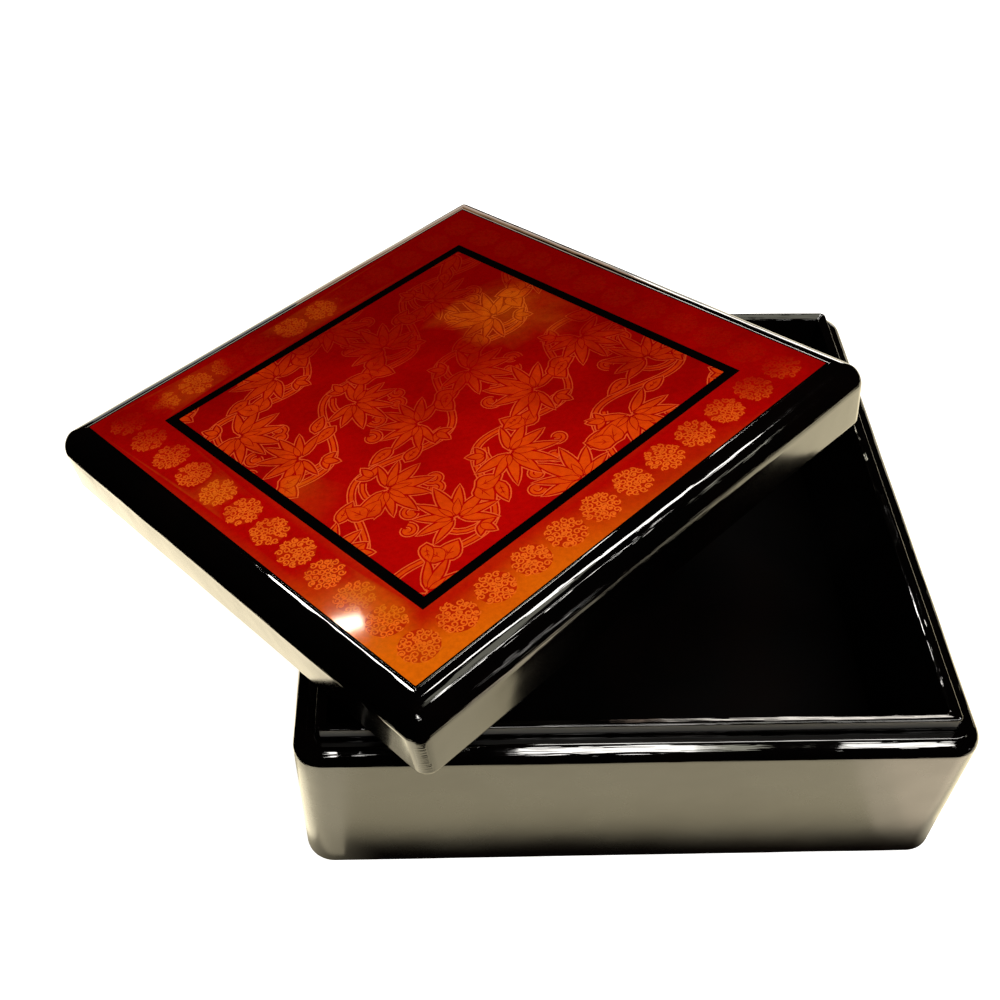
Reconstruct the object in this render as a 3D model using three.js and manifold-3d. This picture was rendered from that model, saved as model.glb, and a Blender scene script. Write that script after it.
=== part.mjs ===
// Square papier mache box with a lift-off lid, in millimetres, +Z up.
// The origin is the centre of the underside. +X is to the right and -Y is the front.
// The lid lies askew on the raised collar, where it has tipped back until it came to rest.

import * as THREE from 'three';
import { mergeVertices } from 'three/addons/utils/BufferGeometryUtils.js';
import Module from 'manifold-3d';

// Moulded tray of the box
const BOX_WIDTH = 150;
const TRAY_HEIGHT = 44.7;
const TRAY_WALL = 5.3;
const TRAY_FLOOR = 3;
const TRAY_CORNER = 7;
const TRAY_SHOULDER = 3.6;
const TRAY_FOOT = 1;
const CAVITY_CORNER = 1.2;

// Lining boards inside the tray
const FLOOR_LINING = 1.5;
const LINER_THICKNESS = 2.3;
const COLLAR_HEIGHT = 3.5;
const COLLAR_CORNER = 1.5;
const COLLAR_EDGE = 0.7;
const MITRE_GAP = 0.3;

// Moulded lid
const LID_HEIGHT = 18;
const LID_SETBACK = 1.8;
const LID_TAPER = 0.5;
const LID_TOP = 6.4;
const LID_CORNER = 4;
const LID_SHOULDER = 7;
const LID_RIM_EDGE = 0.6;
const LID_CLEARANCE = 0.5;

// Decorated sheets on the lid
const SHEET_THICKNESS = 0.5;
const SHEET_MARGIN = 0.4;
const SHEET_GAP = 0.3;
const BORDER_WIDTH = 14.2;
const FRAME_LINE = 2.9;
const SHEET_CORNER = 0.6;

// How the lid lies on the box
const LID_TURN = 41.25;
const LID_SHIFT_X = -38.4;
const LID_SHIFT_Y = 15.5;
const SEAT_GAP = 0.3;

// Fineness of the rounded shapes
const CORNER_STEPS = 10;
const SHOULDER_STEPS = 10;
const EDGE_STEPS = 4;
const SEATING_ROUNDS = 12;

// Sizes that follow from those above
const boxHalf = BOX_WIDTH / 2;
const collarOuter = boxHalf - TRAY_WALL;
const collarInner = collarOuter - LINER_THICKNESS;
const liningTop = TRAY_FLOOR + FLOOR_LINING;
const collarTop = TRAY_HEIGHT + COLLAR_HEIGHT;
const lidHalf = boxHalf - LID_SETBACK;
const lidInner = collarOuter + LID_CLEARANCE;
const lidCeiling = LID_HEIGHT - LID_TOP;
const bedDepth = SHEET_THICKNESS + SHEET_GAP;
const bedFloor = LID_HEIGHT - bedDepth;
const sheetHalf = lidHalf - LID_SHOULDER - SHEET_MARGIN;
const lineOuter = sheetHalf - BORDER_WIDTH;
const lineInner = lineOuter - FRAME_LINE;

const wasm = await Module();
wasm.setup();

// One level of a square form: half its width, the radius of its corners in plan, and its height.
function level(half, corner, height) {
  return { half, corner: Math.max(corner, SHEET_CORNER), height };
}

// The points of one level, anticlockwise seen from above.
function levelPoints({ half, corner, height }) {
  const points = [];
  for (let quarter = 0; quarter < 4; quarter += 1) {
    for (let step = 0; step <= CORNER_STEPS; step += 1) {
      const angle = (quarter + step / CORNER_STEPS) * Math.PI / 2;
      const signX = quarter === 0 || quarter === 3 ? 1 : -1;
      const signY = quarter < 2 ? 1 : -1;
      points.push(new THREE.Vector3(
        signX * (half - corner) + corner * Math.cos(angle),
        signY * (half - corner) + corner * Math.sin(angle),
        height,
      ));
    }
  }
  return points;
}

// A quarter round in a profile, from one angle to another about a centre.
function quarterRound(centreHalf, centreHeight, radius, fromDegrees, toDegrees, steps) {
  return Array.from({ length: steps + 1 }, (_, step) => {
    const angle = THREE.MathUtils.degToRad(fromDegrees + (toDegrees - fromDegrees) * step / steps);
    return [centreHalf + radius * Math.cos(angle), centreHeight + radius * Math.sin(angle)];
  });
}

// A closed solid whose skin runs through a list of levels. It is capped at the first and the last
// level, or else joined from the last level back to the first, as a square tube is.
function loft(levels, capped) {
  const rows = levels.map(levelPoints);
  const count = rows[0].length;
  const positions = rows.flat().flatMap((point) => [point.x, point.y, point.z]);
  const indices = [];
  const bands = capped ? rows.length - 1 : rows.length;
  for (let row = 0; row < bands; row += 1) {
    const above = (row + 1) % rows.length;
    for (let i = 0; i < count; i += 1) {
      const j = (i + 1) % count;
      indices.push(row * count + i, row * count + j, above * count + j);
      indices.push(row * count + i, above * count + j, above * count + i);
    }
  }
  if (capped) {
    const first = positions.length / 3;
    const last = first + 1;
    positions.push(0, 0, levels[0].height, 0, 0, levels[levels.length - 1].height);
    for (let i = 0; i < count; i += 1) {
      const j = (i + 1) % count;
      indices.push(first, j, i);
      indices.push(last, (rows.length - 1) * count + i, (rows.length - 1) * count + j);
    }
  }
  const geometry = new THREE.BufferGeometry();
  geometry.setAttribute('position', new THREE.Float32BufferAttribute(positions, 3));
  geometry.setIndex(indices);
  return geometry;
}

function toSolid(geometry) {
  const bare = geometry.clone();
  bare.deleteAttribute('normal');
  bare.deleteAttribute('uv');
  const merged = mergeVertices(bare);
  return new wasm.Manifold(new wasm.Mesh({
    numProp: 3,
    vertProperties: new Float32Array(merged.attributes.position.array),
    triVerts: new Uint32Array(merged.index.array),
  }));
}

function toGeometry(solid) {
  const mesh = solid.getMesh();
  const geometry = new THREE.BufferGeometry();
  geometry.setAttribute('position', new THREE.BufferAttribute(new Float32Array(mesh.vertProperties), 3));
  geometry.setIndex(new THREE.BufferAttribute(new Uint32Array(mesh.triVerts), 1));
  return geometry;
}

function lacquer(color, roughness) {
  return new THREE.MeshStandardMaterial({ color, roughness, metalness: 0, flatShading: true });
}

function piece(name, geometry, material) {
  const mesh = new THREE.Mesh(geometry, material);
  mesh.name = name;
  return mesh;
}

// Tray: rounded foot, upright wall, rounded shoulder, narrow shelf, then down the inside.
function makeTray() {
  const shoulderHalf = boxHalf - TRAY_SHOULDER;
  const outside = [
    ...quarterRound(boxHalf - TRAY_FOOT, TRAY_FOOT, TRAY_FOOT, -90, 0, EDGE_STEPS),
    ...quarterRound(shoulderHalf, TRAY_HEIGHT - TRAY_SHOULDER, TRAY_SHOULDER, 0, 90, SHOULDER_STEPS),
  ].map(([half, height]) => level(half, TRAY_CORNER - boxHalf + half, height));
  const inside = [TRAY_HEIGHT, TRAY_FLOOR].map((height) => level(collarOuter, CAVITY_CORNER, height));
  return piece('base_shell', loft([...outside, ...inside], true), lacquer(0x0b0a0b, 0.12));
}

function makeFloorLining() {
  const board = [TRAY_FLOOR, liningTop].map((height) => level(collarOuter, COLLAR_CORNER, height));
  return piece('floor_lining', loft(board, true), lacquer(0x0b0a0b, 0.2));
}

// The four lining boards as one square tube with rounded upper edges, before it is mitred.
function linerTube() {
  const edgeHeight = collarTop - COLLAR_EDGE;
  const outside = quarterRound(collarOuter - COLLAR_EDGE, edgeHeight, COLLAR_EDGE, 0, 90, EDGE_STEPS);
  const inside = quarterRound(collarInner + COLLAR_EDGE, edgeHeight, COLLAR_EDGE, 90, 180, EDGE_STEPS);
  const profile = [[collarOuter, liningTop], ...outside, ...inside, [collarInner, liningTop]];
  return loft(profile.map(([half, height]) => level(half, COLLAR_CORNER - collarOuter + half, height)), false);
}

// The quarter of the box, seen from above, that one lining board fills between its two mitres. It is
// as tall as the box is wide, which is more than the boards need.
function mitreWedge(turn) {
  const apex = MITRE_GAP / Math.SQRT2;
  const shape = new THREE.Shape();
  shape.moveTo(0, -apex);
  shape.lineTo(-BOX_WIDTH, -BOX_WIDTH - apex);
  shape.lineTo(BOX_WIDTH, -BOX_WIDTH - apex);
  shape.closePath();
  const wedge = new THREE.ExtrudeGeometry(shape, { depth: BOX_WIDTH, bevelEnabled: false });
  wedge.rotateZ(turn);
  return wedge;
}

function makeLiners() {
  const tube = toSolid(linerTube());
  return ['front', 'right', 'back', 'left'].map((side, index) => {
    const board = tube.intersect(toSolid(mitreWedge(index * Math.PI / 2)));
    return piece(`liner_${side}`, toGeometry(board), lacquer(0x0b0a0b, 0.12));
  });
}

// Lid, on its own rim: down the inside of the ceiling and wall, round the rim, up the outside,
// over the shoulder, then across the two beds for the sheets and the line between them.
function makeLidShell() {
  const rimHalf = lidHalf - LID_TAPER - LID_RIM_EDGE;
  const shoulderHeight = LID_HEIGHT - LID_SHOULDER;
  const outside = [
    ...quarterRound(rimHalf, LID_RIM_EDGE, LID_RIM_EDGE, -90, 0, EDGE_STEPS),
    ...quarterRound(lidHalf - LID_SHOULDER, shoulderHeight, LID_SHOULDER, 0, 90, SHOULDER_STEPS),
  ].map(([half, height]) => level(half, LID_CORNER - lidHalf + half, height));
  const inside = [lidCeiling, 0].map((height) => level(lidInner, COLLAR_CORNER, height));
  const beds = [
    [sheetHalf + SHEET_GAP, LID_HEIGHT],
    [sheetHalf + SHEET_GAP, bedFloor],
    [lineOuter - SHEET_GAP, bedFloor],
    [lineOuter - SHEET_GAP, LID_HEIGHT],
    [lineInner + SHEET_GAP, LID_HEIGHT],
    [lineInner + SHEET_GAP, bedFloor],
  ].map(([half, height]) => level(half, SHEET_CORNER, height));
  return piece('lid_shell', loft([...inside, ...outside, ...beds], true), lacquer(0x0b0a0b, 0.12));
}

function makeBorderSheet() {
  const underside = bedFloor + SHEET_GAP;
  const levels = [
    level(sheetHalf, SHEET_CORNER, underside),
    level(sheetHalf, SHEET_CORNER, LID_HEIGHT),
    level(lineOuter, SHEET_CORNER, LID_HEIGHT),
    level(lineOuter, SHEET_CORNER, underside),
  ];
  return piece('lid_border_sheet', loft(levels, false), lacquer(0xa81405, 0.2));
}

function makeCentreSheet() {
  const underside = bedFloor + SHEET_GAP;
  const levels = [underside, LID_HEIGHT].map((height) => level(lineInner, SHEET_CORNER, height));
  return piece('lid_centre_sheet', loft(levels, true), lacquer(0xa30d04, 0.2));
}

// Where the lid comes to rest. Its rim touches the collar's outer edge at the left and at the back,
// and its ceiling touches the collar's back left corner. Each round solves the plane through the
// three touching points, then finds those points again on the lid so tilted.
function seatLid(group) {
  const turn = new THREE.Quaternion().setFromAxisAngle(
    new THREE.Vector3(0, 0, 1),
    THREE.MathUtils.degToRad(LID_TURN),
  );
  const seatHeight = collarTop + SEAT_GAP;
  const normal = new THREE.Vector3(0, 0, 1);
  const rimCentre = new THREE.Vector3(LID_SHIFT_X, LID_SHIFT_Y, seatHeight);
  for (let round = 0; round < SEATING_ROUNDS; round += 1) {
    const lean = new THREE.Quaternion().setFromUnitVectors(new THREE.Vector3(0, 0, 1), normal);
    group.quaternion.copy(lean).multiply(turn);
    group.position.copy(rimCentre);
    group.updateMatrixWorld(true);
    const [near, right, back, left] = [[-1, -1], [1, -1], [1, 1], [-1, 1]].map(([signX, signY]) => (
      new THREE.Vector3(signX * lidInner, signY * lidInner, 0).applyMatrix4(group.matrixWorld)
    ));
    const leftTouch = near.clone().lerp(left, (-collarOuter - near.x) / (left.x - near.x));
    const backTouch = right.clone().lerp(back, (collarOuter - right.y) / (back.y - right.y));
    const ceilingRise = lidCeiling / normal.z;
    const cornerInset = COLLAR_CORNER * (1 - Math.SQRT1_2);
    const touches = [
      new THREE.Vector3(leftTouch.x, leftTouch.y, seatHeight),
      new THREE.Vector3(backTouch.x, backTouch.y, seatHeight),
      new THREE.Vector3(cornerInset - collarOuter, collarOuter - cornerInset, seatHeight - ceilingRise),
    ];
    const rimPlane = new THREE.Plane().setFromCoplanarPoints(...touches);
    if (rimPlane.normal.z < 0) {
      rimPlane.negate();
    }
    normal.copy(rimPlane.normal);
    const drop = rimPlane.constant + normal.x * LID_SHIFT_X + normal.y * LID_SHIFT_Y;
    rimCentre.z = -drop / normal.z;
  }
}

function makeLid() {
  const group = new THREE.Group();
  group.add(makeLidShell(), makeBorderSheet(), makeCentreSheet());
  seatLid(group);
  return group;
}

const box = new THREE.Group();
box.add(makeTray(), makeFloorLining(), ...makeLiners(), makeLid());

export default box;
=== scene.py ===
"""Square black lacquered papier mache box with its lid lying askew on the collar.

The tray, its lining boards and the lid are made again round the frame with fine roundings and a
hand-made surface, and the lid's two red sheets are cut along their painted scrolls and roundels.
"""

import math
import random

import bpy
import numpy as np
from bpy.props import FloatProperty, FloatVectorProperty, IntProperty, PointerProperty
from mathutils import Matrix, Vector, noise
from mathutils.geometry import delaunay_2d_cdt


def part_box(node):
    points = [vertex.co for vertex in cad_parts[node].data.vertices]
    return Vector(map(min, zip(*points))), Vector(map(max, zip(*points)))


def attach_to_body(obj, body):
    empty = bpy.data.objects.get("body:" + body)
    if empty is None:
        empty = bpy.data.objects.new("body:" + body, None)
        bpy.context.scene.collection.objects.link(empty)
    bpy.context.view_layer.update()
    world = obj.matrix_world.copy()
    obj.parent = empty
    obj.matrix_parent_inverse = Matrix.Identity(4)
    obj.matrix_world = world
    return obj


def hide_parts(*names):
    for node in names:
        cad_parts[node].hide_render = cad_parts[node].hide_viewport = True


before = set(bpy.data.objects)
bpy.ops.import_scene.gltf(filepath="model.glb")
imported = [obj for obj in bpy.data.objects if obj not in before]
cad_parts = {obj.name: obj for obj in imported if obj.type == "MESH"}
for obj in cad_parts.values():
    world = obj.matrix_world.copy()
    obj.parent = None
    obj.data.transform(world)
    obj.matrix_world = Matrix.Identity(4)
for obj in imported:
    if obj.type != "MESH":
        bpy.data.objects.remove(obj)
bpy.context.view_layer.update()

bl_info = {
    "name": "Lacquered Papier Mache Box",
    "version": (1, 0, 0),
    "blender": (4, 5, 0),
    "location": "3D View > Sidebar > Lacquer Box",
    "description": "Makes a square lacquered box with a decorated lid, piece by piece",
    "category": "Add Mesh",
}

MM = 0.001
SIDES = ("back", "left", "front", "right")

# Fineness of the meshes
CORNER_STEPS = 12
SIDE_STEPS = 40
EDGE_STEPS = 6
CREASE_ANGLE = math.radians(32)

# The lid's own sizes that the frame's boxes hide, because it leans
LID_HEIGHT = 18.0
LID_CEILING = 11.6
LID_INNER_HALF = 70.2
LID_TAPER = 0.5
LID_RIM_EDGE = 0.8
LID_FILLET = 1.5
SHEET_BED = 0.42
SHEET_THICKNESS = 0.4

# Upright corners that are too small to be settings, and the collar's height above the tray
LEAST_CORNER = 0.4
CAVITY_CORNER = 1.2
COLLAR_CORNER = 1.5
COLLAR_HEIGHT = 3.5

# Stretches of a rubbed edge from its flat top down: slopes in degrees, length and number of points
TRAY_SLOPES = ((0, 4, 0.12, 2), (4, 25, 0.05, 3), (25, 28, 0.16, 2), (28, 36, 0.55, 8),
               (36, 90, 0.72, 10))
LID_SLOPES = ((0, 5, 0.02, 2), (5, 7, 0.15, 3), (7, 90, 1.36, 20))
COLLAR_SLOPES = ((0, 25, 0.06, 2), (25, 28, 1.60, 4), (28, 90, 0.30, 6))

# Tones that tell apart what is painted on the sheets
GROUND, DISC, FILL, LINE = 0.0, 0.5, 0.86, 1.0

# Gold patches on the two sheets, partly gold and partly painted reflection: place, radius and strength
BORDER_GOLD_SHEEN = ((-57, -43, 12, 0.8), (-59, 17, 6, 0.8), (-38, 59, 11, 0.3), (0, 60, 13, 0.2),
               (-62, -62, 9, 0.4))
CENTRE_GOLD_SHEEN = ((37, 12, 17, 0.42), (28, 22, 9, 0.3), (-45, 0, 6, 0.3))

# Where the edge turns orange as painted sheen, and where and how evenly the paint fades as painted shade,
# in shares of the lid's half
BORDER_PAINTED_LIGHT_AND_WEAR = {"Edge_Start": 0.78, "Edge_End": 0.95, "Faded_Back": 0.02, "Fade_Start": 0.30,
               "Fade_End": 0.64, "Patchy": 0.3}
CENTRE_PAINTED_LIGHT_AND_WEAR = {"Edge_Start": 2.0, "Edge_End": 3.0, "Faded_Back": 0.08, "Fade_Start": -0.22,
               "Fade_End": 0.62, "Patchy": 1.3}

# Rubbing marks in the lacquer: how many to a metre along an edge, and to a millimetre across it
MARKS_ALONG = 45.0
MARKS_ACROSS = 2.6

# The photograph's camera, in metres and degrees
CAMERA_PLACE = (-0.04368, -0.21887, 0.27840)
CAMERA_PITCH = 46.856
CAMERA_YAW = 2.323
CAMERA_ROLL = 1.123
CAMERA_LENS = 45.8
CAMERA_SENSOR = 36.0
CAMERA_SHIFT_X = 0.03


# Settings

class FormSettings(bpy.types.PropertyGroup):
    """Roundings and the unevenness of the moulded and lacquered forms."""

    tray_corner: FloatProperty(
        name="Tray corner", description="Radius of the tray's upright corners",
        default=7.0 * MM, min=0.0, unit="LENGTH")
    tray_shoulder: FloatProperty(
        name="Tray shoulder", description="Radius of the rounding round the tray's mouth",
        default=3.6 * MM, min=0.0, unit="LENGTH")
    tray_foot: FloatProperty(
        name="Tray foot", description="Radius of the rounding under the tray's walls",
        default=1.0 * MM, min=0.0, unit="LENGTH")
    collar_edge: FloatProperty(
        name="Collar edge", description="Radius of the collar's upper outer edge",
        default=0.4 * MM, min=0.0, unit="LENGTH")
    lid_corner: FloatProperty(
        name="Lid corner", description="Radius of the lid's upright corners",
        default=4.0 * MM, min=0.0, unit="LENGTH")
    lid_shoulder: FloatProperty(
        name="Lid shoulder", description="Radius of the rounding round the lid's top",
        default=7.0 * MM, min=0.0, unit="LENGTH")
    unevenness: FloatProperty(
        name="Unevenness", description="How far the moulded surface lies in from its true form",
        default=0.16 * MM, min=0.0, unit="LENGTH")


class FinishSettings(bpy.types.PropertyGroup):
    """Colours and gloss of the lacquer and the decorated sheets."""

    lacquer: FloatVectorProperty(
        name="Lacquer", description="Colour of the black lacquer",
        default=(0.0009, 0.0007, 0.0007), min=0.0, max=1.0, size=3, subtype="COLOR")
    ground_deep: FloatVectorProperty(
        name="Deep red", description="Ground of the sheets at the far side",
        default=(0.205, 0.0003, 0.0003), min=0.0, max=1.0, size=3, subtype="COLOR")
    # Painted sheen: the sheets' red is painted warmer towards the lid's front corner
    ground_warm_sheen: FloatVectorProperty(
        name="Warm red", description="Ground of the sheets at the near side",
        default=(0.50, 0.0015, 0.0008), min=0.0, max=1.0, size=3, subtype="COLOR")
    # Painted sheen: the border's outer edge is painted orange along the front right
    border_orange_sheen: FloatVectorProperty(
        name="Border orange", description="Ground of the border towards its outer edge",
        default=(0.80, 0.142, 0.0015), min=0.0, max=1.0, size=3, subtype="COLOR")
    motif: FloatVectorProperty(
        name="Motif", description="Colour of the painted leaves, petals and roundels",
        default=(0.80, 0.068, 0.002), min=0.0, max=1.0, size=3, subtype="COLOR")
    roundel: FloatVectorProperty(
        name="Roundel", description="Colour of the discs under the border's roundels",
        default=(0.50, 0.016, 0.001), min=0.0, max=1.0, size=3, subtype="COLOR")
    border_line: FloatVectorProperty(
        name="Border line", description="Colour of the thin lines painted on the border",
        default=(0.93, 0.150, 0.010), min=0.0, max=1.0, size=3, subtype="COLOR")
    centre_line: FloatVectorProperty(
        name="Centre line", description="Colour of the thin lines painted on the centre",
        default=(0.92, 0.13, 0.022), min=0.0, max=1.0, size=3, subtype="COLOR")
    gilding: FloatVectorProperty(
        name="Gilding", description="Colour of the gold mottling",
        default=(0.76, 0.165, 0.004), min=0.0, max=1.0, size=3, subtype="COLOR")
    # Painted reflection: the grey that the collar's upper outer face gets for the pale floor it mirrors
    worn: FloatVectorProperty(
        name="Reflection grey", description="Colour of the collar where the lid has rubbed it",
        default=(0.15, 0.148, 0.14), min=0.0, max=1.0, size=3, subtype="COLOR")


class OrnamentSettings(bpy.types.PropertyGroup):
    """The painted pattern of the two sheets."""

    roundels_per_side: IntProperty(
        name="Roundels per side", description="Roundels along one side, both corners counted",
        default=12, min=2)
    roundel_ring: FloatProperty(
        name="Roundel ring", description="Half the width of the square on which they stand",
        default=58.4 * MM, min=0.0, unit="LENGTH")
    roundel_radius: FloatProperty(
        name="Roundel radius", description="Radius of one roundel",
        default=4.75 * MM, min=0.0, unit="LENGTH")
    line_width: FloatProperty(
        name="Line width", description="Width of the painted lines",
        default=0.3 * MM, min=0.0, unit="LENGTH")
    scroll_pitch: FloatProperty(
        name="Scroll pitch", description="Distance between two rows of the scroll",
        default=23.0 * MM, min=0.001, unit="LENGTH")
    scroll_turn: FloatProperty(
        name="Scroll turn", description="How far the scroll's rows are turned on the sheet",
        default=math.radians(24), subtype="ANGLE")
    seed: IntProperty(name="Seed", description="Start of the random draws", default=11)


class StageSettings(bpy.types.PropertyGroup):
    """Floor, surroundings and lamps."""

    floor_level: FloatProperty(
        name="Floor level", description="Brightness that the floor shows by itself",
        default=1.0, min=0.0)
    table_level: FloatProperty(
        name="Table lamp level", description="Brightness of the low lamps that lie round the box",
        default=0.95, min=0.0)
    lamp_level: FloatProperty(
        name="Lamp level", description="Brightness of the soft boxes",
        default=0.8, min=0.0)


def settings(context):
    """The settings of the form, the finish, the ornament and the stage."""
    scene = context.scene
    return scene.lacquer_form, scene.lacquer_finish, scene.lacquer_ornament, scene.lacquer_stage


# Square forms

def ring(half, corner, height):
    """Points round a square with rounded corners, anticlockwise from the middle of its right side on."""
    corner = max(corner, LEAST_CORNER)
    arcs = []
    for quarter, (sx, sy) in enumerate(((1, 1), (-1, 1), (-1, -1), (1, -1))):
        arc = []
        for step in range(CORNER_STEPS + 1):
            angle = (quarter + step / CORNER_STEPS) * math.pi / 2
            arc.append((sx * (half - corner) + corner * math.cos(angle),
                        sy * (half - corner) + corner * math.sin(angle), height))
        arcs.append(arc)
    points = []
    for quarter in range(4):
        points += arcs[quarter]
        start, end = np.array(arcs[quarter][-1]), np.array(arcs[(quarter + 1) % 4][0])
        for step in range(1, SIDE_STEPS):
            points.append(tuple(start + (end - start) * step / SIDE_STEPS))
    return points


def round_edge(half, height, radius, start, end, steps):
    """A rounding of a profile about a centre, as pairs of half width and height."""
    angles = np.radians(np.linspace(start, end, steps + 1))
    return [(half + radius * math.cos(a), height + radius * math.sin(a)) for a in angles]


def rubbed_edge(slopes):
    """Points across and down over an edge, from its flat top on."""
    points = [(0.0, 0.0)]
    for start, end, length, steps in slopes:
        for step in range(steps):
            slope = math.radians(start + (end - start) * (step + 0.5) / steps)
            x, z = points[-1]
            points.append((x + math.cos(slope) * length / steps, z + math.sin(slope) * length / steps))
    return points


def rubbed_shoulder(half, top, radius, slopes):
    """A rounding from a wall up to a flat top, flatter where its long stretches are."""
    points = rubbed_edge(slopes)
    across, down = points[-1]
    return [(half - radius + x * radius / across, top - z * radius / down) for x, z in reversed(points)]


def run(start, end, steps):
    """A straight stretch of a profile with a close point at each end, without its own ends."""
    start, end = np.array(start, float), np.array(end, float)
    length = np.linalg.norm(end - start)
    near = min(0.25, 0.2 * length) / length
    shares = [near] + [s / steps for s in range(1, steps)] + [1 - near]
    return [tuple(start + (end - start) * share) for share in sorted(shares)]


def join_rings(rings, closed=False):
    """Quads between rings of equally many points. The rings follow each other outwards and up."""
    count = len(rings[0])
    faces = []
    last = len(rings) if closed else len(rings) - 1
    for row in range(last):
        above = (row + 1) % len(rings)
        for i in range(count):
            j = (i + 1) % count
            faces.append((row * count + i, row * count + j, above * count + j, above * count + i))
    return faces


def solid_of_levels(levels):
    """Points and faces of a solid through levels of half width, corner and height, with two caps."""
    rings = [ring(*each) for each in levels]
    count = len(rings[0])
    faces = join_rings(rings)
    faces.append(tuple(reversed(range(count))))
    faces.append(tuple(range((len(rings) - 1) * count, len(rings) * count)))
    return np.array([p for r in rings for p in r], float), faces


def uneven(points, normals, amount, grain, keep=None):
    """Points moved in by up to an amount, smoothly over the surface, but for those of the mask keep."""
    shifts = np.array([0.5 + 0.5 * noise.noise(Vector(p / grain)) for p in points])
    shifts = np.clip(shifts, 0, 1) * amount
    if keep is not None:
        shifts[keep] = 0
    return points - normals * shifts[:, None]


def mesh_normals(mesh):
    """The normals at a mesh's points, one in a row."""
    values = np.zeros(len(mesh.vertices) * 3)
    mesh.vertices.foreach_get("normal", values)
    return values.reshape(-1, 3)


def make_object(name, points, faces, material, smooth=True):
    """A piece of one material in the scene, smooth but for its creases, or all flat."""
    mesh = bpy.data.meshes.new(name)
    mesh.from_pydata([tuple(p) for p in points], [], faces)
    mesh.validate()
    mesh.materials.append(material)
    if smooth:
        mesh.shade_smooth()
        mesh.set_sharp_from_angle(angle=CREASE_ANGLE)
    mesh.update()
    obj = bpy.data.objects.new(name, mesh)
    bpy.context.scene.collection.objects.link(obj)
    return obj


def mark_dull_and_reflection(obj, shares):
    """Notes on a piece's points how dull its lacquer is: 0.5 is satin, 1 is also painted paler, as a
    painted reflection.
    """
    dull_and_reflection = obj.data.attributes.new("dull_and_reflection", "FLOAT", "POINT")
    dull_and_reflection.data.foreach_set("value", np.asarray(shares, np.float32))


def mark_level(obj, heights):
    """Notes on a piece's points how high they lie on it, in millimetres, for the marks along its edges."""
    level = obj.data.attributes.new("level", "FLOAT", "POINT")
    level.data.foreach_set("value", np.asarray(heights, np.float32))


def make_uneven(obj, amount, grain, keep=None):
    """Gives a finished piece the slight unevenness of a hand-made form."""
    mesh = obj.data
    points = np.zeros(len(mesh.vertices) * 3)
    mesh.vertices.foreach_get("co", points)
    points = points.reshape(-1, 3)
    moved = uneven(points, mesh_normals(mesh), amount, grain, keep)
    mesh.vertices.foreach_set("co", moved.ravel())
    mesh.update()


def attach(obj, body, slot, *nodes):
    """Lets a piece ride on a body and stand for CAD nodes. Its slot is not used."""
    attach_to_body(obj, body)
    if nodes:
        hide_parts(*nodes)


# Where the lid lies

class LidPlace:
    """The lid's own axes and its rim's centre, read from the flat centre sheet."""

    def __init__(self):
        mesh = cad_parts["lid_centre_sheet"].data
        areas = {}
        for face in mesh.polygons:
            key = tuple(round(v, 3) for v in face.normal)
            areas.setdefault(key, [0.0, Vector()])
            areas[key][0] += face.area
            areas[key][1] += face.normal * face.area
        largest = sorted(areas.values(), key=lambda item: -item[0])
        self.up = max((item[1].normalized() for item in largest[:2]), key=lambda n: n.z)
        sides = [item[1].normalized() for item in largest[2:6]]
        self.right = max(sides, key=lambda n: n.x)
        self.back = self.up.cross(self.right).normalized()
        self.right = self.back.cross(self.up).normalized()
        points = np.array([tuple(v.co) for v in mesh.vertices])
        self.centre_half = self.half(points)
        self.border_half = self.half(np.array(
            [tuple(v.co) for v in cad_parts["lid_border_sheet"].data.vertices]))
        self.lid_half = self.half(np.array(
            [tuple(v.co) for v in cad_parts["lid_shell"].data.vertices]))
        along_up = points @ np.array(self.up)
        middle = [(points @ np.array(axis)) for axis in (self.right, self.back)]
        middle = [(m.min() + m.max()) / 2 for m in middle]
        self.origin = (self.right * middle[0] + self.back * middle[1]
                       + self.up * (along_up.max() - LID_HEIGHT * MM))

    def half(self, points):
        """Half the width of a square piece along the lid's own right, in millimetres."""
        across = points @ np.array(self.right)
        return (across.max() - across.min()) / 2 / MM

    def to_frame(self, points):
        """Points in the lid's millimetres turned into the frame's metres."""
        axes = np.array([self.right, self.back, self.up])
        return np.asarray(points, float) * MM @ axes + np.array(self.origin)


lid_place = LidPlace()


# Material nodes

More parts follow.
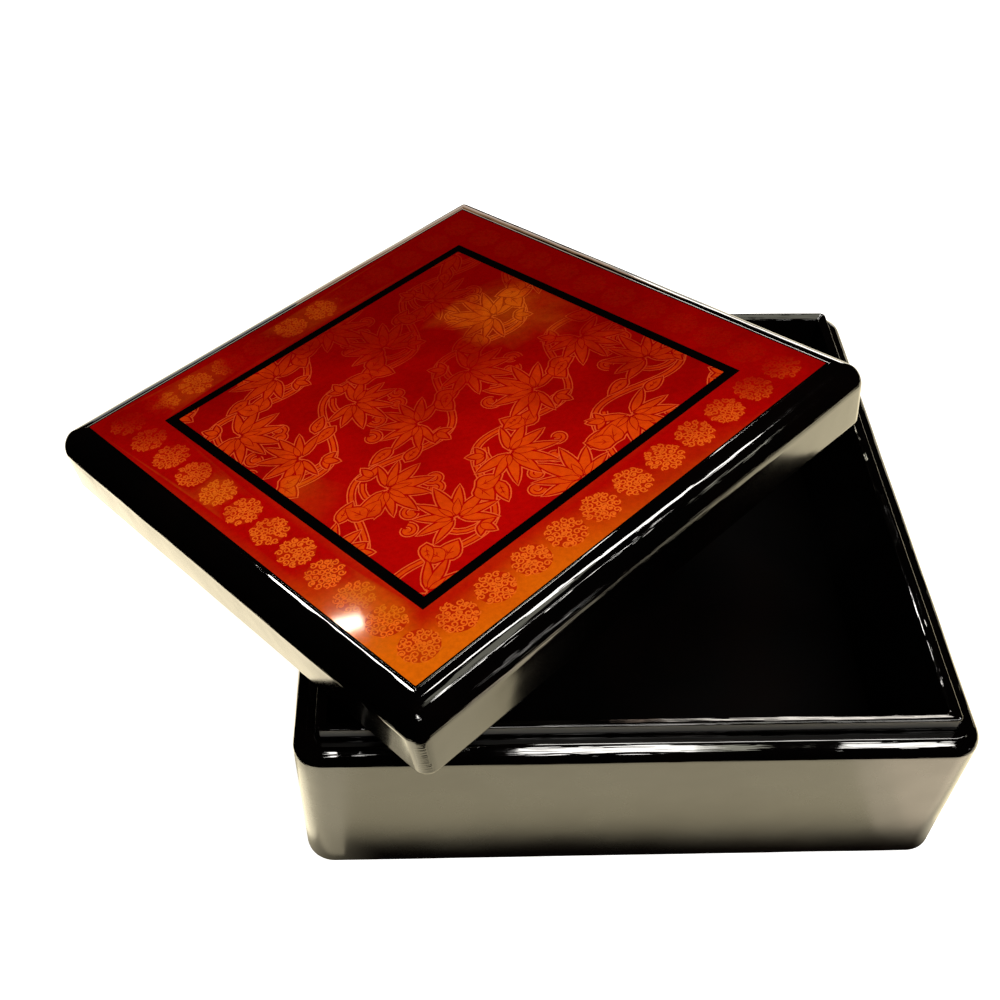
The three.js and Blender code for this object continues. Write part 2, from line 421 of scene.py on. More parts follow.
class Wiring:
    """Adds nodes to one node tree and joins their sockets."""

    def __init__(self, tree):
        self.tree = tree

    def add(self, kind, _set=None, **sockets):
        """A node of a kind, with its own settings and what its sockets hold or are joined to."""
        node = self.tree.nodes.new(kind)
        for key, value in (_set or {}).items():
            setattr(node, key, value)
        for key, value in sockets.items():
            self.put(node.inputs[key.replace("_", " ")], value)
        return node

    def put(self, socket, value):
        """Joins a socket to another, or sets it to a number or colour."""
        if isinstance(value, bpy.types.NodeSocket):
            self.tree.links.new(value, socket)
        elif isinstance(value, (tuple, list)) and len(value) == 3 and socket.type == "RGBA":
            socket.default_value = (*value, 1.0)
        else:
            socket.default_value = value

    def math(self, operation, a, b=0.0):
        """The outcome of a sum on two values."""
        node = self.add("ShaderNodeMath", {"operation": operation})
        self.put(node.inputs[0], a)
        self.put(node.inputs[1], b)
        return node.outputs[0]

    def mix(self, factor, a, b, blend="MIX"):
        """Two colours blended by a factor."""
        node = self.add("ShaderNodeMix", {"data_type": "RGBA", "blend_type": blend})
        self.put(node.inputs[0], factor)
        self.put(node.inputs[6], a)
        self.put(node.inputs[7], b)
        return node.outputs[2]

    def spread(self, value, low, high, to_low=0.0, to_high=1.0, smooth=True):
        """A value's stretch from low to high laid onto another stretch, and held beyond it."""
        node = self.add("ShaderNodeMapRange", {
            "interpolation_type": "SMOOTHSTEP" if smooth else "LINEAR"})
        for index, each in enumerate((value, low, high, to_low, to_high)):
            self.put(node.inputs[index], each)
        return node.outputs[0]

    def noise(self, vector, scale, detail=2.0, roughness=0.5):
        """Clouds between 0 and 1, about scale of them to a metre."""
        node = self.add("ShaderNodeTexNoise", Scale=scale, Detail=detail, Roughness=roughness)
        self.put(node.inputs["Vector"], vector)
        return node.outputs["Fac"]


def new_group(name, inputs, outputs):
    """An empty node group with named sockets, and its input and output nodes."""
    tree = bpy.data.node_groups.new(name, "ShaderNodeTree")
    for socket_name, kind, default in inputs:
        socket = tree.interface.new_socket(name=socket_name, in_out="INPUT", socket_type=kind)
        socket.default_value = default
    for socket_name, kind in outputs:
        tree.interface.new_socket(name=socket_name, in_out="OUTPUT", socket_type=kind)
    wiring = Wiring(tree)
    return wiring, tree.nodes.new("NodeGroupInput"), tree.nodes.new("NodeGroupOutput")


def rubbing_marks(w, place):
    """Fine marks that run along a piece's edges, each at one height."""
    parts = w.add("ShaderNodeSeparateXYZ", Vector=place).outputs
    level = w.add("ShaderNodeAttribute", {"attribute_name": "level"}).outputs["Fac"]
    stretched = w.add("ShaderNodeCombineXYZ", X=w.math("MULTIPLY", parts["X"], MARKS_ALONG),
                      Y=w.math("MULTIPLY", parts["Y"], MARKS_ALONG),
                      Z=w.math("MULTIPLY", level, MARKS_ACROSS)).outputs[0]
    return w.noise(stretched, 1.0, 2.0, 0.6)


def lacquer_surface_group():
    """Slow waves and fine pits of a hand-rubbed lacquer, with faint smears that take off some gloss."""
    known = bpy.data.node_groups.get("lacquer_surface")
    if known:
        return known
    w, given, result = new_group(
        "lacquer_surface",
        [("Wave Size", "NodeSocketFloat", 60.0), ("Pit Size", "NodeSocketFloat", 900.0),
         ("Pits", "NodeSocketFloat", 0.006), ("Polished", "NodeSocketFloat", 0.05),
         ("Smeared", "NodeSocketFloat", 0.14), ("Grain", "NodeSocketFloat", 0.0)],
        [("Height", "NodeSocketFloat"), ("Roughness", "NodeSocketFloat"),
         ("Smears", "NodeSocketFloat")])
    place = w.add("ShaderNodeTexCoord").outputs["Object"]
    waves = w.noise(place, given.outputs["Wave Size"], 2.0, 0.45)
    pits = w.noise(place, given.outputs["Pit Size"], 3.0, 0.6)
    height = w.math("ADD", waves, w.math("MULTIPLY", pits, given.outputs["Pits"]))
    marks = w.math("MULTIPLY", rubbing_marks(w, place), given.outputs["Grain"])
    height = w.math("ADD", height, marks)
    smears = w.spread(w.noise(place, 34.0, 5.0, 0.62), 0.42, 0.72)
    rough = w.spread(smears, 0.0, 1.0, given.outputs["Polished"], given.outputs["Smeared"], False)
    w.put(result.inputs["Height"], height)
    w.put(result.inputs["Roughness"], rough)
    w.put(result.inputs["Smears"], smears)
    return w.tree


def sheet_ground_and_sheen(w, given, parts, cloud, near):
    """The sheet's red, deep at the back and warm in front, with an orange edge on its front right: the warm
    front and the orange edge are painted sheen.
    """
    clouded = w.math("ADD", near, w.math("MULTIPLY", cloud, 1.5))
    # Painted sheen: the red turns warm towards the lid's front corner
    ground = w.mix(w.spread(clouded, -0.6, 0.75), given["Deep"], given["Warm"])
    reach = w.math("MAXIMUM", w.math("ABSOLUTE", parts["X"]), w.math("ABSOLUTE", parts["Y"]))
    ragged = w.math("ADD", reach, w.math("MULTIPLY", cloud, 0.08))
    # Painted sheen: the outer edge turns orange only along the front right
    edge = w.spread(ragged, given["Edge Start"], given["Edge End"])
    along = w.math("ADD", w.math("MULTIPLY", parts["Y"], -0.68), w.math("MULTIPLY", parts["X"], -0.32))
    side = w.spread(w.math("ADD", along, w.math("MULTIPLY", cloud, 0.4)), 0.46, 0.98)
    return w.mix(w.math("MULTIPLY", edge, side), ground, given["Edge"])


def paint_worn_and_shaded(w, given, parts, place, cloud, near, gold):
    """How much paint shows: little at the back, which is painted shade, less where it is rubbed, and most
    at the gold.
    """
    lean = w.math("MULTIPLY", w.math("ABSOLUTE", w.math("SUBTRACT", parts["Y"], parts["X"])), 0.2)
    # Painted shade: the pattern fades towards the back corner of the lid
    light_and_patches = w.math("ADD", w.math("ADD", near, lean), w.math("MULTIPLY", cloud, given["Patchy"]))
    shaded_paint = w.spread(light_and_patches, given["Fade Start"], given["Fade End"], given["Faded Back"], 1.0)
    rubbed = w.spread(w.noise(place, 75.0, 4.0, 0.7), 0.30, 0.52, 0.66, 1.0)
    return w.math("MAXIMUM", w.math("MULTIPLY", shaded_paint, rubbed), w.math("MULTIPLY", gold, 0.9))


def painted_sheet_group():
    """A sheet's ground with its painted sheen in front and painted shade at the back, its painted pattern
    and its gold mottling, laid out on the sheet's own plane.
    """
    known = bpy.data.node_groups.get("painted_sheet")
    if known:
        return known
    colours = ("Deep", "Warm", "Edge", "Paint", "Contour", "Disc", "Gilding")
    w, group_input, result = new_group(
        "painted_sheet",
        [*((name, "NodeSocketColor", (0, 0, 0, 1)) for name in colours),
         ("Edge Start", "NodeSocketFloat", 0.8), ("Edge End", "NodeSocketFloat", 1.0),
         ("Faded Back", "NodeSocketFloat", 0.2), ("Fade Start", "NodeSocketFloat", -0.9),
         ("Fade End", "NodeSocketFloat", 0.1), ("Patchy", "NodeSocketFloat", 0.5)],
        [("Colour", "NodeSocketColor"), ("Gold", "NodeSocketFloat")])
    given = group_input.outputs
    plane = w.add("ShaderNodeUVMap", {"uv_map": "lid_plane"}).outputs["UV"]
    parts = w.add("ShaderNodeSeparateXYZ", Vector=plane).outputs
    place = w.add("ShaderNodeTexCoord").outputs["Object"]
    cloud = w.math("SUBTRACT", w.noise(place, 26.0, 4.0, 0.6), 0.5)
    # How near the front corner of the lid a point lies, from -1 at the back corner to 1
    near = w.math("MULTIPLY", w.math("ADD", parts["X"], parts["Y"]), -0.5)
    tone = w.add("ShaderNodeAttribute", {"attribute_name": "tone"}).outputs["Fac"]
    gold = w.add("ShaderNodeAttribute", {"attribute_name": "gilding"}).outputs["Fac"]
    ground = sheet_ground_and_sheen(w, given, parts, cloud, near)
    left = paint_worn_and_shaded(w, given, parts, place, cloud, near, gold)
    is_line = w.math("GREATER_THAN", tone, (FILL + LINE) / 2)
    is_paint = w.math("GREATER_THAN", tone, (DISC + FILL) / 2)
    brush = w.mix(is_paint, given["Disc"], w.mix(is_line, given["Paint"], given["Contour"]))
    paint = w.math("MULTIPLY", w.spread(tone, GROUND, DISC, 0.0, 1.0, False), left)
    colour = w.mix(w.math("MULTIPLY", paint, 0.94), ground, brush)
    mottled = w.spread(w.noise(place, 90.0, 5.0, 0.7), 0.30, 0.62, 0.35, 1.0)
    gold = w.math("MULTIPLY", gold, mottled)
    gold = w.math("MULTIPLY", gold, w.mix(is_paint, (0.45, 0.45, 0.45), (1.0, 1.0, 1.0)))
    # Painted reflection: the gold patches also stand for the warm glare on the lid
    colour = w.mix(gold, colour, given["Gilding"])
    speck = w.spread(w.noise(place, 900.0, 3.0, 0.65), 0.3, 0.7, 0.88, 1.1, False)
    grey = w.add("ShaderNodeCombineColor", Red=speck, Green=speck, Blue=speck).outputs[0]
    w.put(result.inputs["Colour"], w.mix(1.0, colour, grey, "MULTIPLY"))
    w.put(result.inputs["Gold"], gold)
    return w.tree


def new_material(name):
    """A material with an empty node tree, or one that an earlier piece has made, without a wiring."""
    known = bpy.data.materials.get(name)
    if known:
        return known, None
    material = bpy.data.materials.new(name)
    material.use_nodes = True
    material.node_tree.nodes.clear()
    return material, Wiring(material.node_tree)


def place_group(w, tree, **values):
    """A node group in a material with its own values. Gives the group's outputs."""
    node = w.add("ShaderNodeGroup", {"node_tree": tree})
    for key, value in values.items():
        w.put(node.inputs[key.replace("_", " ")], value)
    return node.outputs


def bumped(w, height, strength):
    """The normals of a surface with slight bumps."""
    return w.add("ShaderNodeBump", Strength=strength, Distance=0.0006, Height=height).outputs["Normal"]


def black_lacquer(name, finish, wave=60.0, bumps=0.35, polished=0.02, smeared=0.07, specular=0.5):
    """Deep black lacquer, rubbed to a gloss, satin where the piece is marked so, and painted grey where
    fully marked, as a painted reflection of the pale floor.
    """
    material, w = new_material(name)
    if w is None:
        return material
    dull_and_reflection = w.add("ShaderNodeAttribute", {"attribute_name": "dull_and_reflection"}).outputs["Fac"]
    surface = place_group(w, lacquer_surface_group(), Wave_Size=wave, Polished=polished, Smeared=smeared,
                          Grain=w.spread(dull_and_reflection, 0.0, 0.2, 0.22, 0.0))
    brown = tuple(min(1.0, c * s) for c, s in zip(finish.lacquer, (3.2, 1.6, 1.1)))
    colour = w.mix(w.math("MULTIPLY", surface["Smears"], 0.5), tuple(finish.lacquer), brown)
    # Painted reflection: fully marked lacquer is painted grey for the pale floor that it mirrors
    colour = w.mix(w.spread(dull_and_reflection, 0.6, 1.0), colour, tuple(finish.worn))
    rough = w.math("ADD", surface["Roughness"], w.math("MULTIPLY", dull_and_reflection, 0.5))
    shader = w.add("ShaderNodeBsdfPrincipled", IOR=1.52, Specular_IOR_Level=specular)
    w.put(shader.inputs["Base Color"], colour)
    w.put(shader.inputs["Roughness"], rough)
    w.put(shader.inputs["Normal"], bumped(w, surface["Height"], bumps))
    w.add("ShaderNodeOutputMaterial", Surface=shader.outputs[0])
    return material


def red_sheet(name, finish, edge, line, painted_light_and_wear):
    """Painted paper sealed under the lacquer, a little metallic where the gold shows."""
    material, w = new_material(name)
    if w is None:
        return material
    sheet = place_group(
        w, painted_sheet_group(), Deep=tuple(finish.ground_deep), Warm=tuple(finish.ground_warm_sheen),
        Edge=tuple(edge), Paint=tuple(finish.motif), Contour=tuple(line), Disc=tuple(finish.roundel),
        Gilding=tuple(finish.gilding), **painted_light_and_wear)
    surface = place_group(w, lacquer_surface_group(), Wave_Size=45.0, Polished=0.24, Smeared=0.32)
    shader = w.add("ShaderNodeBsdfPrincipled", IOR=1.5, Specular_IOR_Level=0.0, Coat_Weight=1.0,
                   Coat_IOR=1.5, Coat_Roughness=0.05)
    w.put(shader.inputs["Base Color"], sheet["Colour"])
    w.put(shader.inputs["Roughness"], surface["Roughness"])
    w.put(shader.inputs["Metallic"], w.math("MULTIPLY", sheet["Gold"], 0.2))
    w.put(shader.inputs["Normal"], bumped(w, surface["Height"], 0.12))
    w.add("ShaderNodeOutputMaterial", Surface=shader.outputs[0])
    return material


# Painted shapes, in millimetres on a sheet's plane

def placed(points, x, y, angle):
    """Points turned by an angle about their origin and moved to a place."""
    c, s = math.cos(angle), math.sin(angle)
    return np.asarray(points) @ np.array([[c, s], [-s, c]]) + (x, y)


def petal(length, width, bend=0.0, grow=0.0, steps=7):
    """A pointed petal along +X from its foot, bent to one side and grown all round."""
    t = np.linspace(0, 1, steps)
    half = 0.5 * width * np.sin(np.pi * t ** 0.72) + grow * np.sqrt(np.clip(4 * t * (1 - t), 0, 1))
    along = length * t + grow * 1.25 * (2 * t - 1)
    spine = bend * length * t ** 2
    upper = np.column_stack((along, spine + half))
    lower = np.column_stack((along, spine - half))[::-1][1:-1]
    return np.vstack((upper, lower))[::-1]


def disc(radius, points=12):
    """A round with so many points."""
    angles = np.linspace(0, 2 * np.pi, points, endpoint=False)
    return np.column_stack((np.cos(angles), np.sin(angles))) * radius


def ribbon(path, width, chunk=4):
    """A band along a path, as short pieces so that it may curl over itself."""
    path = np.asarray(path, float)
    ahead = np.gradient(path, axis=0)
    ahead /= np.linalg.norm(ahead, axis=1)[:, None]
    aside = np.column_stack((-ahead[:, 1], ahead[:, 0])) * width / 2
    bands = []
    for start in range(0, len(path) - 1, chunk):
        stretch = slice(start, min(start + chunk, len(path) - 1) + 1)
        bands.append(np.vstack((path[stretch] - aside[stretch], (path[stretch] + aside[stretch])[::-1])))
    return bands


def spiral(x, y, angle, outer, inner, turns, way=1, steps=14):
    """Points that curl from a distance outer to a distance inner round a centre."""
    t = np.linspace(0, 1, steps)
    radius = outer + (inner - outer) * t ** 0.8
    a = angle + way * turns * 2 * np.pi * t
    return np.column_stack((x + radius * np.cos(a), y + radius * np.sin(a)))


class Painting:
    """Shapes in the order in which they are painted, the lowest layer first."""

    LAYERS = ("stem_line", "stem_gap", "stem_fill", "line", "gap", "top")

    def __init__(self, line):
        self.line = line
        self.layers = {name: [] for name in self.LAYERS}

    def add(self, layer, points, tone):
        """Paints a shape in one tone on a layer."""
        self.layers[layer].append((points, tone))

    def stem(self, path, width):
        """A filled stem between two thin contour lines."""
        for band in ribbon(path, width + 4.6 * self.line):
            self.add("stem_line", band, LINE)
        for band in ribbon(path, width + 2.6 * self.line):
            self.add("stem_gap", band, GROUND)
        for band in ribbon(path, width):
            self.add("stem_fill", band, FILL)

    def leaf(self, x, y, angle, length, width, bend=0.0, veins=0):
        """A filled leaf in a thin contour line."""
        gap = 1.5 * self.line
        self.add("line", placed(petal(length, width, bend, gap + self.line), x, y, angle), LINE)
        self.add("gap", placed(petal(length, width, bend, gap), x, y, angle), GROUND)
        self.add("top", placed(petal(length, width, bend, 0.75 * self.line), x, y, angle), GROUND)
        self.add("top", placed(petal(length, width, bend), x, y, angle), FILL)
        if not veins:
            return
        rib = petal(length * 0.72, self.line * 0.95, bend, steps=4) + (length * 0.1, 0)
        self.add("top", placed(rib, x, y, angle), GROUND)
        for index in range(veins):
            start = length * (0.3 + 0.22 * index)
            for way in (-1, 1):
                vein = placed(petal(width * 0.34, self.line * 0.8, steps=4),
                              start, bend * length * (start / length) ** 2, way * 0.75)
                self.add("top", placed(vein, x, y, angle), GROUND)

    def spray(self, x, y, angle, size, rng):
        """A fan of narrow petals in two tiers, the longest in the middle."""
        for petals, reach, share in ((9, 112, 1.0), (4, 66, 0.52)):
            middle = (petals - 1) / 2
            for index in sorted(range(petals), key=lambda i: -abs(i - middle)):
                away = (index - middle) / middle
                length = size * share * (1.0 - 0.26 * abs(away) ** 1.5) * rng.uniform(0.9, 1.1)
                turn = angle + away * math.radians(reach) + rng.uniform(-0.07, 0.07)
                foot = (x + 1.2 * math.cos(turn), y + 1.2 * math.sin(turn))
                self.leaf(*foot, turn, length, length * rng.uniform(0.21, 0.28) / share ** 0.4, away * 0.15)

    def leaf_pair(self, x, y, angle, size):
        """Two round leaves with forked veins, side by side."""
        for way in (-1, 1):
            self.leaf(x, y, angle + way * 0.66, size, size * 0.74, way * 0.06, 1)

    def bud(self, x, y, angle, size):
        """A bud of three lobes that curl away from each other."""
        for away in (-1, 1, 0):
            turn = angle + away * 0.72
            length = size * (0.86 if away else 1.0)
            self.leaf(x, y, turn, length, length * 0.5, away * 0.3)

    def curl(self, x, y, angle, size, way):
        """A small volute with a filled head."""
        path = spiral(x, y, angle, size, size * 0.38, 0.85, way)
        self.stem(path, 0.75)
        self.add("stem_fill", placed(disc(size * 0.34), x, y, 0), FILL)

    def shapes(self):
        """All shapes with their tones, the lowest layer first."""
        return [shape for name in self.LAYERS for shape in self.layers[name]]


def wave(pitch, row, turn, reach):
    """One row's stem: an S curve across the sheet, with the phase and the length of its waves."""
    length = pitch * 2.05
    phase = row * 0.41 * length
    t = np.arange(-reach, reach, 1.6)
    across = 0.30 * pitch * np.sin(2 * np.pi * (t + phase) / length)
    return placed(np.column_stack((t, row * pitch + across)), 0, 0, turn), length, phase


def scroll(half, line, pitch, turn, seed):
    """The centre's scroll: waving stems with a curling shoot and a spray of petals in each hollow."""
    rng = random.Random(seed)
    painting = Painting(line)
    reach = half * 1.6
    rows = int(reach / pitch) + 1
    for row in range(-rows, rows + 1):
        path, length, phase = wave(pitch, row, turn, reach)
        inside = np.max(np.abs(path), axis=1) < half + 4
        if inside.sum() > 2:
            first, last = np.flatnonzero(inside)[[0, -1]]
            painting.stem(path[max(first - 1, 0):last + 2], 0.85)
        crest = -reach
        number = math.ceil((crest + phase) / (length / 2))
        while True:
            along = number * length / 2 + length / 4 - phase
            if along > reach:
                break
            way = 1 if number % 2 == 0 else -1
            number += 1
            centre = placed([[along, row * pitch - way * 0.10 * pitch]], 0, 0, turn)[0]
            if np.max(np.abs(centre)) > half + 9:
                continue
            fill_hollow(painting, centre, turn, way, pitch, rng)
    return painting.shapes()


def fill_hollow(painting, centre, turn, way, pitch, rng):
    """Shoot, spray, bud, leaves and curls that stand round one crest of a stem."""
    x, y = centre
    lean = turn + way * math.radians(-90)
    spray_turn = lean + rng.uniform(-0.8, 0.8)
    painting.stem(spiral(x, y, lean + math.pi, 0.32 * pitch, 0.12 * pitch, 0.5, way, 10), 0.7)
    size = pitch * rng.uniform(0.42, 0.50)
    foot = placed([[pitch * 0.05, 0]], x, y, spray_turn + math.pi)[0]
    painting.spray(*foot, spray_turn, size, rng)
    bud_turn = lean + math.pi + rng.uniform(-0.5, 0.5)
    bud = placed([[pitch * 0.30, 0]], x, y, bud_turn)[0]
    painting.bud(*bud, bud_turn, pitch * 0.17)
    side = rng.choice((-1, 1))
    spot = placed([[side * pitch * 0.44, way * pitch * 0.05]], x, y, turn)[0]
    painting.leaf_pair(*spot, turn + way * rng.uniform(0.5, 1.6), pitch * rng.uniform(0.25, 0.29))
    spot = placed([[-side * pitch * 0.45, way * pitch * rng.uniform(-0.1, 0.1)]], x, y, turn)[0]
    leaf_turn = turn + (0 if side < 0 else math.pi) + rng.uniform(-0.7, 0.7)
    painting.leaf(*spot, leaf_turn, pitch * rng.uniform(0.24, 0.30), pitch * 0.12, side * 0.14, 2)
    for number in range(2):
        along = rng.uniform(0.16, 0.36) * pitch * (-1) ** number
        spot = placed([[along, -way * pitch * 0.36]], x, y, turn)[0]
        painting.curl(*spot, rng.uniform(0, 6.28), pitch * rng.uniform(0.08, 0.11), way)


def roundel_shapes(x, y, radius, line, rng):
    """A round woven of small curls, in three rings about its centre."""
    turn = rng.uniform(0, math.tau)
    shapes = [(placed(disc(radius * 0.96, 20), x, y, 0), DISC)]
    for away, count, size in ((0.80, 13, 0.20), (0.50, 8, 0.21), (0.20, 4, 0.19)):
        for index in range(count):
            angle = turn + (index + rng.uniform(-0.2, 0.2)) * math.tau / count
            reach = radius * (away + rng.uniform(-0.03, 0.03))
            at = (x + reach * math.cos(angle), y + reach * math.sin(angle))
            start = angle + rng.uniform(-0.9, 0.9)
            path = spiral(*at, start, radius * size, radius * size * 0.35, 1.15, rng.choice((-1, 1)), 11)
            shapes += [(band, LINE) for band in ribbon(path, line)]
            if rng.random() < 0.35:
                shapes.append((placed(disc(line * 0.9, 6), *at, angle), LINE))
    return shapes


def roundels(ring_half, per_side, radius, line, seed):
    """The border's roundels, evenly spaced round a square with one in each corner."""
    rng = random.Random(seed)
    shapes = []
    spacing = 2 * ring_half / (per_side - 1)
    for side in range(4):
        for index in range(per_side - 1):
            at = placed([[-ring_half + index * spacing, -ring_half]], 0, 0, side * math.pi / 2)[0]
            shapes += roundel_shapes(*at, radius, line, rng)
    return shapes


def square(half):
    """The corners of a square, anticlockwise."""
    return np.array([(-half, -half), (half, -half), (half, half), (-half, half)], float)


def anticlockwise(points):
    """An outline's points, turned round if they run clockwise."""
    x, y = points[:, 0], points[:, 1]
    doubled = np.sum(x * np.roll(y, -1) - np.roll(x, -1) * y)
    return points if doubled > 0 else points[::-1]


def cut_sheet(half, shapes, hole_half=None):
    """Triangles of a square sheet cut along every outline, and the tone of what is painted on top."""
    polygons, tones = [square(half)], [GROUND]
    for points, tone in shapes:
        low, high = points.min(axis=0), points.max(axis=0)
        if low.max() < half and high.min() > -half:
            polygons.append(anticlockwise(points))
            tones.append(tone)
    coords, faces = [], []
    for points in polygons + ([square(hole_half)] if hole_half else []):
        faces.append(list(range(len(coords), len(coords) + len(points))))
        coords += [Vector(p) for p in points]
    points, _, triangles, _, _, _ = delaunay_2d_cdt(coords, [], faces, 1, 1e-4, True)
    points = np.array([tuple(p) for p in points])
    triangles = np.array([tuple(t) for t in triangles])
    centres = points[triangles].mean(axis=1)
    reach = np.abs(centres).max(axis=1)
    kept = (reach < half) & (reach > (hole_half or 0.0))
    if not kept.any():
        raise RuntimeError("The sheet's outlines left no triangles")
    on_top = painted_on_top(centres[kept], polygons[1:], tones[1:])
    return points, [tuple(int(i) for i in t) for t in triangles[kept]], on_top


def within(spots, outline):
    """Which spots lie inside an outline that may cross itself, by its winding number."""
    x, y = spots[:, :1], spots[:, 1:]
    ax, ay = outline.T
    bx, by = np.roll(outline, -1, axis=0).T
    side = (bx - ax) * (y - ay) - (x - ax) * (by - ay)
    rising = (ay <= y) & (by > y) & (side > 0)
    falling = (ay > y) & (by <= y) & (side < 0)
    return rising.sum(axis=1) != falling.sum(axis=1)


def painted_on_top(spots, outlines, tones):
    """The tone of the last outline painted over each spot, or the ground's."""
    found = np.full(len(spots), GROUND)
    order = np.argsort(spots[:, 0])
    across = spots[order, 0]
    for outline, tone in zip(outlines, tones):
        low, high = outline.min(axis=0), outline.max(axis=0)
        near = order[slice(*np.searchsorted(across, (low[0], high[0])))]
        near = near[(spots[near, 1] > low[1]) & (spots[near, 1] < high[1])]
        found[near[within(spots[near], outline)]] = tone
    return found


def mark_painting(obj, points, tones, patches):
    """Notes each upper face's tone, each point's gold and its place on the lid, for the material."""
    paint = obj.data.attributes.new("tone", "FLOAT", "FACE")
    values = np.zeros(len(obj.data.polygons), np.float32)
    values[:len(tones)] = tones
    paint.data.foreach_set("value", values)
    gilding = obj.data.attributes.new("gilding", "FLOAT", "POINT")
    gilding.data.foreach_set("value", np.array([gilded(p, patches) for p in points], np.float32))
    layer = obj.data.uv_layers.new(name="lid_plane")
    corners = np.zeros(len(obj.data.loops), int)
    obj.data.loops.foreach_get("vertex_index", corners)
    plane = np.array([(p[0], p[1]) for p in points]) / lid_place.border_half
    layer.data.foreach_set("uv", plane[corners].ravel())


def sheet_object(name, half, shapes, material, patches, hole_half=None):
    """A thin closed sheet in the lid's top whose upper face carries the painted pattern."""
    flat, triangles, tones = cut_sheet(half, shapes, hole_half)
    used = sorted({i for t in triangles for i in t})
    lookup = {old: new for new, old in enumerate(used)}
    flat = flat[used]
    triangles = [tuple(lookup[i] for i in t) for t in triangles]
    edges = {pair for t in triangles for pair in zip(t, t[1:] + t[:1])}
    rim = [(a, b) for a, b in edges if (b, a) not in edges]
    rim_points = sorted({i for edge in rim for i in edge})
    below = {old: len(flat) + index for index, old in enumerate(rim_points)}
    points = [(x, y, LID_HEIGHT) for x, y in flat]
    points += [(*flat[i], LID_HEIGHT - SHEET_THICKNESS) for i in rim_points]
    faces = list(triangles) + [(b, a, below[a], below[b]) for a, b in rim]
    faces += underside(rim, below, flat, half, hole_half)
    obj = make_object(name, lid_place.to_frame(points), faces, material, smooth=False)
    mark_painting(obj, points, tones, patches)
    return obj


def gilded(point, patches):
    """How much gold shows at a point: the strongest of the patches, each soft towards its rim."""
    shares = []
    for x, y, radius, amount in patches:
        away = math.hypot(point[0] - x, point[1] - y) / radius
        away += 0.35 * noise.noise(Vector((point[0] / 6, point[1] / 6, x)))
        shares.append(amount * min(1.0, max(0.0, (1.0 - away) / 0.45)))
    return max(shares)


def underside(rim, below, flat, half, hole_half):
    """The sheet's lower face: one polygon, or four trapezoids round a hole."""
    ahead = dict(rim)
    loops = []
    while ahead:
        start, here = ahead.popitem()
        loop = [start]
        while here != start:
            loop.append(here)
            here = ahead.pop(here)
        loops.append(loop)
    if hole_half is None:
        return [tuple(below[i] for i in reversed(loops[0]))]
    outer, inner = sorted(loops, key=lambda loop: -np.abs(flat[loop]).max())
    faces = []
    for side in range(4):
        turn = side * math.pi / 2
        edge = [i for i in outer if placed([flat[i]], 0, 0, -turn)[0][1] < -half + 1e-3]
        hole = [i for i in inner if placed([flat[i]], 0, 0, -turn)[0][1] < -hole_half + 1e-3]
        edge.sort(key=lambda i: placed([flat[i]], 0, 0, -turn)[0][0])
        hole.sort(key=lambda i: placed([flat[i]], 0, 0, -turn)[0][0], reverse=True)
        faces.append(tuple(below[i] for i in reversed(edge + hole)))
    return faces


# Pieces

class LACQUERBOX_OT_tray(bpy.types.Operator):
    """Makes the moulded tray of the box"""

    bl_idname = "lacquerbox.make_tray"
    bl_label = "Tray"

    def execute(self, context):
        form, finish, _, _ = settings(context)
        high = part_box("base_shell")[1]
        half, top = high.x / MM, high.z / MM
        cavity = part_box("liner_right")[1].x / MM
        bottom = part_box("floor_lining")[0].z / MM
        corner, shoulder, foot = (v / MM for v in (form.tray_corner, form.tray_shoulder, form.tray_foot))
        profile = round_edge(half - foot, foot, foot, -90, 0, EDGE_STEPS)
        profile.insert(0, (half - foot - 0.4, 0.0))
        profile += run((half, foot), (half, top - shoulder), 7)
        profile += rubbed_shoulder(half, top, shoulder, TRAY_SLOPES)
        profile += [(half - shoulder - 0.2, top)]
        levels = [(h, corner - half + h, z) for h, z in profile]
        mouth = round_edge(cavity + 0.3, top - 0.3, 0.3, 90, 180, 3)
        mouth += [(cavity, bottom + (top - bottom) * share) for share in (0.6, 0.3, 0.0)]
        levels += [(h, CAVITY_CORNER, z) for h, z in mouth]
        points, faces = solid_of_levels(levels)
        tray = make_object("tray", points * MM, faces, black_lacquer("rubbed_lacquer", finish))
        make_uneven(tray, form.unevenness, 0.018, points[:, 2] < 0.2)
        outer = np.abs(points[:, :2]).max(axis=1) > half - shoulder
        below = np.clip((top - shoulder + 0.6 - points[:, 2]) / 0.8, 0.0, 1.0)
        mark_dull_and_reflection(tray, 0.5 * outer * below)
        mark_level(tray, points[:, 2])
        attach(tray, "box", "black_lacquer", "base_shell")
        return {"FINISHED"}


